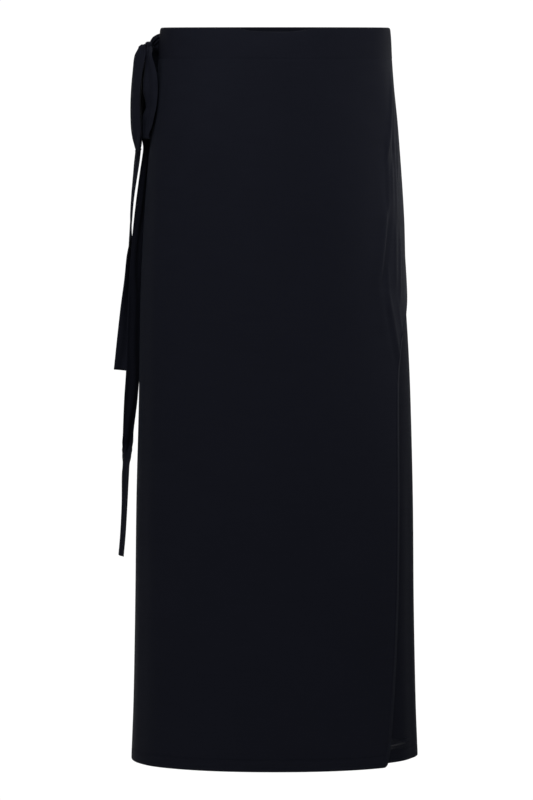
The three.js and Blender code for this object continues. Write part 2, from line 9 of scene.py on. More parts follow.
import bpy
import numpy as np
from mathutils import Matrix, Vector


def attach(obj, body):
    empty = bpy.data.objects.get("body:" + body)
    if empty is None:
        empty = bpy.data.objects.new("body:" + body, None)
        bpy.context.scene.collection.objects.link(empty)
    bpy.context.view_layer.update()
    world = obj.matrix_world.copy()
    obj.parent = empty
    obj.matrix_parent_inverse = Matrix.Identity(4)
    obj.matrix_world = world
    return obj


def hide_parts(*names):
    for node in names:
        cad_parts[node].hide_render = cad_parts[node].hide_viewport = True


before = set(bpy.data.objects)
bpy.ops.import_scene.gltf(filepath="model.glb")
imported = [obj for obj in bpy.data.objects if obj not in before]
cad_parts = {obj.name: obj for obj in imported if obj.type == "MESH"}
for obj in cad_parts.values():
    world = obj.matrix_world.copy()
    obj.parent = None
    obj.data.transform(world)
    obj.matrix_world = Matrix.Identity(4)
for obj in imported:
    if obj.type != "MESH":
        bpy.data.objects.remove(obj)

bl_info = {
    "name": "Wrap skirt",
    "version": (1, 0, 0),
    "blender": (4, 5, 0),
    "location": "3D View > Sidebar > Wrap skirt",
    "description": "Makes a tied wrap skirt of fine jersey on a pale stage",
    "category": "Object",
}

LENGTH = 944.0
OVER_LONGER = 5.0  # the over panel hangs this much lower, and so does the back panel at the seam they share
BAND_HEIGHT = 40.0
SEAM_GAP = -0.2  # the sewn edges run into each other a little
LAYER_LIFT = 2.6
TIE_WIDTH = 25.0
SECTION_POWER = 2.2
WAIST_TILT = 7.8
TILT_ENDS_AT = 360.0
FRONT_SAG = 4.4
FRONT_LEAN = 3.0
SAG_HALF_WIDTH = 42.0
BAND_PROUD = 0.2
BAND_RADIUS = 130.0  # a mean radius, which turns the waistband's angles into lengths
BAND_ROUND = 4.0  # the band's top corners round over at the sides
SLIT_TOP = 7.5
SLIT_BOTTOM = 21.5
SLIT_HALF_WIDTH = 1.7
SLIT_EASE = 0.6
HEM_FOLD = 15.0
HEM_WALL = 0.5
HEM_GROOVE = 0.25
EDGE_FOLD = 8.0
EDGE_RISE = 0.45
EDGE_CURL = 7.0
EDGE_DROP = 2.0
EDGE_STITCHES = 6.8  # in from the free edge
EDGE_RADIUS = 145.0  # the body's mean radius at the free edge
FINE_DOWN_TO = 455.0  # the creases end here
FINE_FROM = 0.6  # share of the way across the over panel
LONGER_FROM = 868.0  # a lower hem is reached from here down
BACK_HEM_RISE = 9.0
FOOT_RADIUS = 10.0  # the over panel's lower corner
FOOT_HEIGHT = 40.0
STITCH_PITCH = 3.4
STITCH_GAP = 0.9
STITCH_RADIUS = 0.2
STITCH_PROUD = 0.1
TIE_CUP = 1.0
TIE_RIPPLE = 0.8
TIE_WALL = 1.5
UV_NAME = "Cloth"
UV_RADIUS = 0.16  # metres of cloth for each radian of turn
KNOT_CENTRE = np.array([-162.6, -4, -4.8])
KNOT_SIZE = np.array([5, 7, 6.5])
KNOT_WRAP = 0.07
MILLIMETRE_WAVES = 6283.0  # radians in a metre of waves that are 1 mm long

# Distances of the closer lines of a grid: below the waistband's foot, below the hem's stitches, in from the free
# edge, and in from the other edges of a panel or the waistband as shares of the wall
FOOT_ROWS = np.array([-1.2, -0.3, 0.2, 0.6, 1.2])
HEM_ROWS = np.array([-1.6, -0.8, -0.3, 0.1, 0.5, 1, 1.8])
FREE_COLUMNS = np.array([10, 9, 8.6, 8.2, 7.8, 7.4, 7, 6, 4, 3, 2.2, 1.6, 1.1, 0.7])
PANEL_EDGE = np.array([0, 0.05, 0.15, 0.35])
BAND_EDGE = np.array([0, 0.03, 0.1, 0.22, 0.38, 0.5])

# The sheer cloth at the under panel's hem, as metres of cloth down and across, where open streaks of knit show
SHEER_FROM = 0.913
SHEER_SIDE = 0.2
SHEER_FADE = 0.035

FLOOR_LEVEL = -1.2
PLATE_HALF = 1.2
PLATE_RISE = 0.005
LENS = 148.99
CAMERA_PLACE = (-0.0107, -4.3, -0.274)
CAMERA_TILT = 0.04374
# Each light's name, place, aim, size and power
LIGHTS = (
    ("key", (-0.3, -1.3, 0.95), (0, 0, -0.1), 0.8, 32),
    ("side", (0.68, -0.03, -0.1), (0.15, 0, -0.18), 0.3, 3.2),
    ("low fill", (0.9, -1.1, -0.4), (0.12, 0, -0.5), 0.5, 1.6),
    ("right rim", (1.1, 1.15, -0.05), (0.15, 0, -0.4), 0.5, 4.8),
    ("left", (-2.4, -1.6, 0.7), (-0.15, 0, -0.2), 1.0, 13),
    ("back", (0, 1.9, 2.4), (0, 3.4, -1), 2.5, 110),
)

# How bright and glossy each cloth is, and its shares of the settings' sheen and sheerness. The sheer jersey's
# lower brightness is painted shade: it darkens the under panel, whose strip under the over panel's free edge
# lies in shade.
Cloth = namedtuple("Cloth", "shade gloss sheen sheer")
CLOTHS = {
    "Jersey": Cloth(1.0, 0.02, 1.0, 0.0),
    # painted shade: this cloth's colour is made darker than the same jersey's elsewhere
    "Sheer jersey": Cloth(0.82, 0.011, 1.0, 1.0),
    "Waistband jersey": Cloth(1.0, 0.02, 0.0, 0.0),
    "Tie jersey": Cloth(1.0, 0.02, 1.0, 0.0),
    "Thread": Cloth(1.0, 0.02, 1.0, 0.0),
}


def table(columns, rows):
    """A table as one array for each of its named columns."""
    return dict(zip(columns.split(), np.array(rows, float).T))


# Half widths and half depths of the under layer's outer face
BODY = table(
    "drop left right front back",
    [
        (0, 148, 146.4, 102.5, 106.5),
        (14, 149.1, 147.7, 104, 108),
        (40, 150.4, 149, 105, 110),
        (92, 155.2, 152.9, 107, 115.5),
        (144, 161.3, 156.8, 109, 119.5),
        (222, 167.8, 162.1, 111, 122.5),
        (287, 171.8, 165.6, 112.5, 123),
        (352, 174.4, 169.6, 114, 123),
        (417, 175.7, 173.7, 116, 123.5),
        (482, 176.6, 176.5, 118, 124),
        (612, 180, 179.8, 120.5, 125.5),
        (742, 181.7, 181.1, 122.5, 127),
        (872, 184.2, 183.8, 124.5, 128.5),
        (944, 187, 186.6, 126, 130),
    ],
)
SEAM_TURN = np.degrees(SEAM_GAP / 2 / BODY["front"][2])
RIGHT_SEAM = 90 - SEAM_TURN
LEFT_SEAM = -90 + SEAM_TURN

# The over panel's free edge, from its tied corner on the back half to the hem
OVER_EDGE = table(
    "drop turn",
    [
        (0, 112), (40, 111.5), (150, 106), (250, 98.5), (320, 90.5), (352, 83.5), (370, 77.5), (387, 71.5),
        (404, 67), (424, 64), (452, 62.2), (500, 60.9), (612, 59.7), (719, 58.6), (793, 56.6), (852, 54.3),
        (918, 51), (944, 49),
    ],
)
UNDER_EDGE = table("drop turn", [(0, -47), (40, -47), (944, -36)])

# Folds: where each starts and ends as drops, its turns there, its height, and its half widths in degrees on the
# side of the lower turns and on the other side. A trough has a negative height.
FOLD_COLUMNS = "start end turn_from turn_to height before after"
BODY_FOLDS = table(
    FOLD_COLUMNS,
    [
        (120, 1100, -59, -52, 1.6, 7, 7),
        (190, 1100, -73, -70, 1.4, 6, 6),
        (470, 1100, 72, 69, -1.5, 6, 6),
        (330, 1100, 108, 103, 2.6, 8, 8),
        (240, 1100, 132, 127, -2.4, 9, 9),
        (300, 1100, 152, 150, 3.2, 9, 9),
        (430, 1100, 181, 184, -2.2, 11, 11),
        (260, 1100, 205, 209, 3.4, 10, 10),
        (350, 1100, 229, 234, -2.4, 8, 8),
        (210, 1100, 250, 253, 2.2, 7, 7),
    ],
)
OVER_FOLDS = table(
    FOLD_COLUMNS,
    [
        (50, 260, 68, 56, 1.6, 7, 7),
        (205, 345, 59.5, 47, 1.4, 6, 6),
        (330, 450, 53, 62.5, 1.6, 5.5, 5.5),
        (45, 330, 98, 82, 1.8, 6, 6),
        (48, 190, 76, 56.5, 2.0, 2.2, 1.6),
        (56, 200, 79, 61, -1.3, 1.5, 2),
        (90, 215, 84, 71, 1.1, 1.8, 1.8),
        (110, 250, 66, 63, 0.8, 1.4, 1.4),
        (120, 265, 71, 68, 0.8, 1.5, 1.5),
        (125, 270, 58.6, 56.6, -1.3, 2.6, 1.2),
        (215, 352, 58.8, 47, 1.8, 3.4, 1.2),
        (222, 345, 61.2, 50, -1.7, 1.2, 3),
        (240, 350, 67, 62, 1.0, 1.5, 1.6),
        (250, 370, 73, 66, 0.9, 1.6, 1.6),
        (310, 420, 48, 52.5, 0.8, 3, 1.6),
        (295, 380, 56, 55.5, 1.2, 1.6, 1.2),
        (335, 440, 54.5, 62.5, 1.2, 1.6, 1.2),
        (345, 450, 51.8, 59.5, -0.9, 1.8, 1.3),
        (345, 420, 63, 68, 0.8, 1.3, 1.3),
        (38, 70, -65.5, -73, 1.2, 1.3, 1.1),
        (38, 72, -68, -76, -1.2, 1.1, 1.3),
        (38, 62, -59, -63, 0.6, 1.3, 1.1),
    ],
)

# The ties, each row a place on the middle line with the direction of the width there: turn is 0 where the width
# runs along +X and 90 where its right-hand edge points at the viewer, rise is 90 where it stands upright.
TIE_COLUMNS = "x y z turn rise width"
FRONT_LOOP = [
    (-168.7, -9.5, -4.2, 78, 0, 10), (-171.2, -12, -4.6, 66, 0, 17), (-173.5, -16, -15, 52, 0, 24),
    (-177, -19, -38, 57, 0, 25), (-179.6, -20, -62, 60, 0, 25), (-180.2, -20, -88, 59, 0, 25),
    (-179.2, -19.5, -112, 58, 0, 25), (-178.6, -17.8, -127, 66, 0, 23), (-176.4, -16.4, -138.5, 76, 0, 18),
    (-174.9, -15, -130.5, 74, 0, 20), (-175.9, -11.2, -108, 70, 0, 24), (-177, -5.5, -84, 72, 0, 25),
    (-175.6, -4, -56, 74, 0, 25), (-172.6, -3, -32, 76, 0, 22), (-169.4, -2.5, -15, 80, 0, 14),
    (-168.4, -2, -9.5, 84, 0, 8),
]
BACK_LOOP = [
    (-162.6, -11.8, -5.5, 10, 0, 8), (-162.8, -16, -9, 30, 0, 11), (-162.8, -22, -19, 60, 0, 18),
    (-161.2, -28, -33, 56, 0, 24), (-160, -32, -47, 43, 0, 25), (-159.8, -32.5, -62, 38, 0, 25),
    (-158.9, -32, -78, 52, 0, 25), (-159.4, -31.5, -86, 56, 0, 25),
    (-162.6, -30, -97, 53, 0, 25), (-164.8, -26.5, -111, 60, 0, 22),
    (-166, -25.6, -119, 62, 0, 18), (-165.4, -24.4, -123, 64, 0, 17), (-164, -23.4, -118.5, 66, 0, 17),
    (-163.6, -20, -101, 70, 0, 19), (-163.6, -16, -76, 72, 0, 21), (-163.2, -13.5, -50, 72, 0, 21),
    (-162.6, -9.5, -28, 70, 0, 16), (-162.4, -6, -12, 60, 0, 8),
]
SHORT_TAIL = [
    (-164.8, 2.7, -9.8, 92, 0, 8), (-167.2, 9, -18, 108, 0, 18), (-168, 11.5, -45, 112, 0, 23),
    (-169.6, 13, -80, 112, 0, 25), (-172.6, 12.6, -106, 96, 0, 25), (-175.9, 12, -126, 76, 0, 25),
    (-178.6, 10, -150, 72, 0, 25), (-181.6, 9, -176, 77, 0, 25), (-184.3, 9, -202, 82, 0, 25),
    (-186, 10, -228, 85, 0, 25),
    (-186.7, 12, -250, 93, 0, 25), (-187, 15, -274, 115, 0, 25), (-187.2, 18, -306, 134, 0, 25),
    (-190, 21, -345, 155, 0, 25), (-193.8, 22, -385, 167, 0, 25), (-197.8, 22, -424.5, 172, 0, 25),
]
LONG_TAIL = [
    (-159, 5.5, -8, -66, 0, 15), (-157, 9, -12, -60, 0, 22), (-156.2, 12, -18, -59, 0, 25),
    (-155.6, 13.6, -28, -62, 0, 25), (-155.2, 14, -38, -68, 0, 25), (-157.6, 13, -60, -72, 0, 25),
    (-163, 10.5, -92, -64, 0, 25), (-166.6, 9.5, -111, -54, 0, 25), (-166.2, 9, -124, -62, 0, 25),
    (-166, 9, -136, -69, 0, 25), (-170, 8, -171, -65, 0, 25),
    (-174.6, 7, -212, -61, 0, 25), (-177.7, 7, -250, -56, 0, 25), (-181.2, 9, -306, -52, 0, 25),
    (-183.2, 9, -365, -49, 0, 25), (-184.8, 9, -425, -47, 0, 25), (-187.4, 7.5, -462, -48, 0, 25),
    (-190.6, 6, -501, -58, 0, 25), (-191.3, 6, -514, -56, 0, 24), (-192, 6, -524, -32, 0, 15),
    (-192.6, 6, -532, 28, 0, 14), (-193.4, 6, -543, 62, 0, 22), (-194.6, 5, -562, 66, 0, 25),
    (-195.8, 5, -600, 70, 0, 25), (-197.9, 4, -638, 71, 0, 25), (-200.3, 4, -665.5, 72, 0, 25),
]

# A tie laid on the waistband, with the distance of its middle out from the under layer's face, and its end
LAID_COLUMNS = "turn drop out width"
AROUND_BACK = table(
    LAID_COLUMNS,
    [
        (112.6, 20, 1.6, 25), (118, 20, 1.6, 25), (150, 20, 1.6, 25), (185, 20, 1.6, 25),
        (220, 19.5, 1.6, 25), (240, 19.8, 1.7, 25), (254, 20, 2.2, 25), (260, 20.4, 3.4, 24.5),
    ],
)
AROUND_BACK_END = [(-157.2, 12, -3.4, 0, 88, 22), (-160.2, 7.5, -5, 0, 88, 18), (-162, 4.4, -5.5, 0, 88, 12)]
THROUGH_SLIT = table(
    LAID_COLUMNS,
    [
        (-47.5, 20, -0.6, 25), (-56, 20, -1.8, 25), (-68, 18.5, -3.2, 21), (-78, 16, -3.6, 15),
        (-85.5, 14.4, -3.6, 10),
    ],
)
THROUGH_SLIT_END = [
    (-145.7, -3, 6, 0, 90, 9), (-146.1, -1.2, 6, 0, 90, 8.5), (-147.6, -0.2, 5.9, 0, 90, 8.5),
    (-150, -1.6, 5.0, 0, 84, 10), (-152.8, -4.2, 3.0, 0, 78, 11), (-156.6, -7.5, -1.6, 0, 74, 11),
]


def smooth(value, low, high):
    """Eases from 0 at low to 1 at high: 3 t squared less 2 t cubed."""
    t = np.clip((value - low) / (high - low), 0, 1)
    return t * t * (3 - 2 * t)


def read(rows, by, key, at):
    """A cubic Hermite curve through a table's column, its slope at a row taken from the rows on either side."""
    x, y = rows[by], rows[key]
    before = np.r_[0, 0 : len(x) - 1]
    after = np.r_[1 : len(x), len(x) - 1]
    slope = (y[after] - y[before]) / (x[after] - x[before])
    i = np.clip(np.searchsorted(x, at) - 1, 0, len(x) - 2)
    span = x[i + 1] - x[i]
    t = np.clip((at - x[i]) / span, 0, 1)
    ease = t * t * (3 - 2 * t)
    bend = t * (1 - t) * ((1 - t) * slope[i] - t * slope[i + 1]) * span
    return y[i] * (1 - ease) + y[i + 1] * ease + bend


def fold_height(folds, turn, drop):
    """The sum of a table's folds: each is height times exp(-across squared), faded in and out along its way."""
    height = 0.0
    for start, end, turn_from, turn_to, rise, before, after in zip(*folds.values()):
        along = (drop - start) / (end - start)
        aside = (turn - turn_from - (turn_to - turn_from) * along + 540) % 360 - 180
        across = aside / np.where(aside < 0, before, after)
        fade = smooth(along, 0, 0.3) * (1 - smooth(along, 0.7, 1))
        height = height + rise * fade * np.exp(-across * across)
    return height


def section(turn, drop):
    """The body's section, a squared ellipse: x = width sin k and y = -depth cos k, k being the power norm."""
    s, c = np.sin(np.radians(turn)), np.cos(np.radians(turn))
    k = (np.abs(s) ** SECTION_POWER + np.abs(c) ** SECTION_POWER) ** (-1 / SECTION_POWER)
    wide = np.where(s > 0, read(BODY, "drop", "right", drop), read(BODY, "drop", "left", drop))
    deep = np.where(c > 0, read(BODY, "drop", "front", drop), read(BODY, "drop", "back", drop))
    return wide * s * k, -deep * c * k, -c * k


def skirt_point(turn, drop, out):
    """A place on the skirt: the section's point, moved along its normal by out and the folds, at its height."""
    x, y, depth = section(turn, drop)
    x_before, y_before, _ = section(turn - 0.5, drop)
    x_after, y_after, _ = section(turn + 0.5, drop)
    step = np.hypot(x_after - x_before, y_after - y_before)
    near_centre = np.where(y < 0, np.exp(-((x / SAG_HALF_WIDTH) ** 4)), 0)
    near_top = np.clip(1 - drop / BAND_HEIGHT, 0, None) ** 2
    total = out + fold_height(BODY_FOLDS, turn, drop) - FRONT_LEAN * near_centre * near_top
    tilt = WAIST_TILT * depth * np.clip(1 - drop / TILT_ENDS_AT, 0, None) ** 2
    z = BAND_HEIGHT / 2 - drop + tilt - FRONT_SAG * near_centre * near_top
    normal_x, normal_y = (y_after - y_before) / step, -(x_after - x_before) / step
    return np.stack([x + normal_x * total, y + normal_y * total, z], axis=-1)


def over_lift(turn):
    """The over layer rises from the back panel's level at the left seam to its own."""
    return LAYER_LIFT * smooth(turn, -76, -52)


def over_face(turn, drop):
    """How far the over layer's outer face lies out from the under layer's: its lift and its own folds."""
    return over_lift(turn) + fold_height(OVER_FOLDS, turn, drop)


def under_face(turn, drop):
    """The under layer's own face, which the body's section gives."""
    return 0 * turn * drop


def level_hem(share):
    """A hem at the under layer's level."""
    return 0 * share


def back_hem(share):
    """The back hem eases down to the over panel's level, and rises a little on the way, by share across."""
    rise = smooth(share, 0, 0.22) * (1 - smooth(share, 0.7, 1))
    return OVER_LONGER * smooth(share, 0, 1) - BACK_HEM_RISE * rise


def over_hem(share):
    """A hem at the over panel's level."""
    return OVER_LONGER + 0 * share


def straight_edge(turn):
    """An edge that keeps to one turn from the waistband to the hem."""
    return table("drop turn", [(0, turn), (LENGTH, turn)])


# Each panel's edges, outer face, hem, cloth and flat size, and whether its far edge is free
Panel = namedtuple("Panel", "start end face hem cloth flat free")
PANELS = {
    "back_panel": Panel(
        straight_edge(180 - RIGHT_SEAM), straight_edge(180 - LEFT_SEAM), under_face, back_hem, "Jersey",
        (0.5, 0.92), False,
    ),
    "under_panel": Panel(
        UNDER_EDGE, straight_edge(RIGHT_SEAM), under_face, level_hem, "Sheer jersey", (0.38, 0.92), False
    ),
    "over_panel": Panel(
        straight_edge(LEFT_SEAM), OVER_EDGE, over_face, over_hem, "Jersey", (0.45, 0.92), True
    ),
}


def rounded(distance, radius):
    """How far a quarter circle of that radius lies below its top, that distance in from the edge."""
    inside = np.clip(1 - distance / radius, 0, 1)
    return radius * (1 - np.sqrt(1 - inside * inside))


def spaced(start, end, step, ends):
    """Values from start to end in even steps, with closer ones at those distances in from each end."""
    way = 1 if end > start else -1
    count = max(2, int(round(abs(end - start) / step)))
    inner = np.linspace(start, end, count + 1)[1:-1]
    near = np.array(ends)
    return np.concatenate([start + way * near, inner, (end - way * near)[::-1]])


def unit(vectors):
    """Vectors brought to length 1."""
    return vectors / np.linalg.norm(vectors, axis=-1, keepdims=True)


def add_piece(name, rings, uv, material, nodes=()):
    """Closed bodies from rings of points: quads between neighbouring rings, and a strip across each end.

    rings is bodies x rows x count x 3. The faces are turned round where the volume, the sum of a . (b x c)
    over their triangles, is negative.
    """
    bodies, rows, count = rings.shape[:3]
    index = np.arange(rows * count).reshape(rows, count)
    beside = np.roll(index, -1, axis=1)
    sides = np.stack([index[:-1], beside[:-1], beside[1:], index[1:]], axis=-1).reshape(-1, 4)
    i = np.arange(count // 2 - 1)
    cap = np.stack([i, count - 1 - i, count - 2 - i, i + 1], axis=-1)
    faces = np.concatenate([sides, cap, cap[:, ::-1] + (rows - 1) * count])
    points = rings.reshape(-1, 3) / 1000
    a, b, c, d = (points[faces[:, k]] - points[: rows * count].mean(axis=0) for k in range(4))
    if (np.cross(b, c) * a).sum() + (np.cross(c, d) * a).sum() < 0:
        faces = faces[:, ::-1]
    faces = (faces + np.arange(bodies)[:, None, None] * rows * count).reshape(-1, 4)
    mesh = bpy.data.meshes.new(name)
    mesh.from_pydata(points.tolist(), [], faces.tolist())
    layer = mesh.uv_layers.new(name=UV_NAME)
    layer.data.foreach_set("uv", uv.reshape(-1, 2)[faces.ravel()].astype(np.float32).ravel())
    mesh.shade_smooth()
    mesh.materials.append(material)
    piece = bpy.data.objects.new(name, mesh)
    bpy.context.scene.collection.objects.link(piece)
    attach(piece, "root")
    if nodes:
        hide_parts(*nodes)
    return piece


def stitches(name, line, shape, length):
    """Stitches on a line, which gives turn, drop and out at distances along it: short tapered threads."""
    start = np.arange(STITCH_GAP, length - STITCH_PITCH, STITCH_PITCH)
    share = np.array([0, 0.12, 0.88, 1])
    sunk = np.array([0.5, 0, 0, 0.5]) * STITCH_RADIUS
    turn, drop, out = line(shape, start[:, None] + (STITCH_PITCH - STITCH_GAP) * share)
    middle = skirt_point(turn, drop, out - sunk)
    normal = unit(skirt_point(turn, drop, out + 1) - skirt_point(turn, drop, out))
    side = unit(np.cross(unit(middle[:, -1:] - middle[:, :1]) + 0 * normal, normal))
    angle = np.linspace(0, 2 * np.pi, 6, endpoint=False)
    radius = (np.array([0.3, 1, 1, 0.3]) * STITCH_RADIUS)[:, None, None]
    ring = normal[:, :, None] * np.cos(angle)[:, None] + side[:, :, None] * np.sin(angle)[:, None]
    rings = middle[:, :, None] + radius * ring
    return add_piece(name, rings, rings[..., :2] / 1000, jersey("Thread"))


def wall(name, turn, drop, out, thick, material):
    """A cloth wall: rings of points on its outer face, and back on its inner face, that much further in."""
    outer = skirt_point(turn, drop, out)
    inner = skirt_point(turn, drop, out - thick)
    rings = np.concatenate([outer, inner[:, ::-1]], axis=1)
    flat = np.stack([np.radians(turn) * UV_RADIUS, -drop / 1000], axis=-1)
    uv = np.concatenate([flat, flat[:, ::-1]], axis=1)
    return add_piece(name + "_cloth", rings[None], uv, material, [name])


def turned_edge(from_edge):
    """The free edge is turned in: a second layer raises it, and by a power it slopes to the layer below."""
    bent = np.clip(1 - from_edge / EDGE_CURL, 0, 1) ** 1.2
    return EDGE_RISE * (1 - smooth(from_edge, EDGE_FOLD - 0.6, EDGE_FOLD + 0.6)) - EDGE_DROP * bent


def cloth_width(shape):
    """A panel's width at the hem: the angle between its edges times the cloth's radius."""
    start, end = shape.start["turn"][-1], shape.end["turn"][-1]
    return np.radians(end - start) * 1000 * UV_RADIUS


def turn_across(shape, share, drop):
    """The turn at a share of the way from a panel's one edge to the other at that drop."""
    start, end = (read(edge, "drop", "turn", drop) for edge in (shape.start, shape.end))
    return start + (end - start) * share


def hem_line(shape, distance):
    """Places along the hem's stitches, in the groove over the turned cloth's edge."""
    share = distance / cloth_width(shape)
    drop = LENGTH - HEM_FOLD + shape.hem(share)
    turn = turn_across(shape, share, drop)
    return turn, drop, shape.face(turn, drop) - HEM_GROOVE + STITCH_PROUD


def edge_line(shape, distance):
    """Places down the free edge's stitches, a fixed distance in from the edge."""
    drop = BAND_HEIGHT + distance
    turn = read(shape.end, "drop", "turn", drop) - np.degrees(EDGE_STITCHES / EDGE_RADIUS)
    return turn, drop, shape.face(turn, drop) + EDGE_RISE


def panel_rows(step, fine, near, free):
    """Drops of a panel's rows: closer at its top, its hem and its foot, and where a free edge has creases."""
    hem = LENGTH - HEM_FOLD
    upper = np.arange(BAND_HEIGHT + 3, FINE_DOWN_TO, fine if free else step)
    lower = np.linspace(upper[-1] + step, hem - 3, int((hem - upper[-1]) / step))
    fold = np.linspace(hem + 4, LENGTH - 1.5, 4)
    return np.concatenate([BAND_HEIGHT + FOOT_ROWS, upper, lower, hem + HEM_ROWS, fold, LENGTH - near[::-1]])


def panel_columns(width, step, fine, near, free):
    """Shares of a panel's width: closer at its edges, and towards a free edge, over creases and fold."""
    across = spaced(0, width, step, near) / width
    if not free:
        return across
    close = np.arange(FINE_FROM, 1 - (FREE_COLUMNS[0] + 1) / width, 0.75 * fine / width)
    before = across[across < FINE_FROM - 0.003]
    return np.r_[before, close, 1 - FREE_COLUMNS / width, across[-len(near) :]]


def panel(name, shape, sizes):
    """A panel from one edge to the other, hung from below the waistband, with its hem turned up inside."""
    thick = sizes.panel_wall
    near = PANEL_EDGE * thick
    hem = LENGTH - HEM_FOLD
    width = cloth_width(shape)
    columns = panel_columns(width, sizes.cell, sizes.fine_cell, near, shape.free)
    share, drop = np.meshgrid(columns, panel_rows(sizes.cell, sizes.fine_cell, near, shape.free))
    more = shape.hem(share)
    drop = drop + more * smooth(drop, LONGER_FROM, hem - 3)
    from_free = (1 - share) * width
    if shape.free:
        foot = LENGTH + OVER_LONGER
        drop = drop - rounded(from_free, FOOT_RADIUS) * smooth(drop, foot - FOOT_HEIGHT, foot)
    turn = turn_across(shape, share, drop)
    from_side = np.minimum(share, 1 - share) * width
    from_end = drop[-1:] - drop
    edge = np.maximum(rounded(from_side, thick / 2), rounded(from_end, thick / 2))
    folded = HEM_WALL * smooth(drop - more, hem - 0.3, hem + 0.3)
    groove = HEM_GROOVE * np.exp(-(((drop - more - hem) / 1.1) ** 2))
    out = shape.face(turn, drop) - edge - groove
    if shape.free:
        out = out + turned_edge(from_free)
    return wall(name, turn, drop, out, thick + folded - 2 * edge, jersey(shape.cloth))


def path_points(points, at):
    """A centripetal Catmull-Rom curve: Hermite pieces, their slopes weighed by the roots of the steps."""
    more = np.vstack([2 * points[0] - points[1], points, 2 * points[-1] - points[-2]])
    i = np.clip(at.astype(int), 0, len(points) - 2)
    t = (at - i)[:, None]
    p = [more[i + k] for k in range(4)]
    d = [np.sqrt(np.linalg.norm(p[k + 1] - p[k], axis=1))[:, None] for k in range(3)]
    first = ((p[1] - p[0]) / d[0] - (p[2] - p[0]) / (d[0] + d[1])) * d[1] + p[2] - p[1]
    last = ((p[3] - p[2]) / d[2] - (p[3] - p[1]) / (d[1] + d[2])) * d[1] + p[2] - p[1]
    ease = t * t * (3 - 2 * t)
    return p[1] * (1 - ease) + p[2] * ease + t * (1 - t) * ((1 - t) * first - t * last)


def free_rows(rows):
    """Rows of a hanging tie as middles, directions of the width, and widths."""
    got = table(TIE_COLUMNS, rows)
    turn, rise = np.radians(got["turn"]), np.radians(got["rise"])
    across = np.stack([np.cos(rise) * np.cos(turn), -np.cos(rise) * np.sin(turn), np.sin(rise)], axis=-1)
    return np.stack([got["x"], got["y"], got["z"]], axis=-1), across, got["width"]


def laid_rows(rows, end):
    """Rows of a tie laid on the waistband, six degrees apart and upright, followed by its free end's rows."""
    turns = rows["turn"]
    way = np.sign(turns[-1] - turns[0])
    count = int(np.ceil(abs(turns[-1] - turns[0]) / 6))
    turn = np.linspace(turns[0], turns[-1], count + 1)
    by_way = {**rows, "way": way * turns}
    drop, out, width = (read(by_way, "way", key, way * turn) for key in ("drop", "out", "width"))
    middle = skirt_point(turn, drop, out)
    across = unit(skirt_point(turn, drop - width / 2, out) - skirt_point(turn, drop + width / 2, out))
    parts = (middle, across, width), free_rows(end)
    return tuple(np.concatenate(both) for both in zip(*parts))


def tie(name, rows, step, phase):
    """A pressed tube of cloth along a curve: a flat section with rounded edges, a cupped middle and ripples."""
    middles, acrosses, widths = rows
    rough = np.linalg.norm(np.diff(middles, axis=0), axis=1).sum()
    at = np.linspace(0, len(middles) - 1, max(int(rough / step), 3 * len(middles)) + 1)
    numbered = {"number": np.arange(len(middles), dtype=float), "width": widths}
    for k in range(3):
        numbered[f"across{k}"] = acrosses[:, k]
    middle = path_points(middles, at)
    along = unit(np.gradient(middle, axis=0))
    across = np.stack([read(numbered, "number", f"across{k}", at) for k in range(3)], axis=-1)
    across = unit(across - along * np.einsum("ij,ij->i", across, along)[:, None])
    normal = np.cross(along, across)
    width = read(numbered, "number", "width", at)[:, None]
    place = np.sin(np.linspace(-0.5, 0.5, 21) * np.pi)[None, :]
    ease = width / TIE_WIDTH
    reach = np.r_[0, np.cumsum(np.linalg.norm(np.diff(middle, axis=0), axis=1))][:, None]
    drift = phase + 1.3 * np.sin(reach / 47 + phase) + 0.6 * np.sin(reach / 19)
    cup = TIE_CUP * ease * (1 - place**2)
    cup = cup + TIE_RIPPLE * (1 - place**4) * np.sin(place * (4.6 + 4 * (1 - ease)) + drift)
    half = TIE_WALL / 2 * np.sqrt(1 - np.abs(place) ** 5) + 0 * width
    side = (place * width / 2)[..., None] * across[:, None]
    top = middle[:, None] + side + (cup + half)[..., None] * normal[:, None]
    low = middle[:, None] + side + (cup - half)[..., None] * normal[:, None]
    rings = np.concatenate([top, low[:, -2:0:-1]], axis=1)
    flat = np.stack([place * TIE_WIDTH / 2 + 0 * reach, reach + 0 * place], axis=-1) / 1000
    uv = np.concatenate([flat, flat[:, -2:0:-1]], axis=1)
    return add_piece(name + "_cloth", rings[None], uv, jersey("Tie jersey"), [name])


def knot():
    """A rounded block, a ball by the cubic norm, with ridges wound round it: 1 + wrap sin(5 around + 4 up)."""
    around, up = np.meshgrid(np.linspace(0, 2 * np.pi, 48, endpoint=False), np.linspace(-1.45, 1.45, 26))
    ball = np.stack([np.cos(up) * np.cos(around), np.cos(up) * np.sin(around), np.sin(up)], axis=-1)
    ball = ball / (np.abs(ball) ** 3).sum(axis=-1, keepdims=True) ** (1 / 3)
    wrapped = 1 + KNOT_WRAP * np.sin(5 * around + 4 * up)[..., None] * np.cos(up)[..., None]
    rings = ball * wrapped * KNOT_SIZE + KNOT_CENTRE
    uv = np.stack([around, up], axis=-1) * 0.006
    return add_piece("bow_knot_cloth", rings[None], uv, jersey("Tie jersey"), ["bow_knot"])


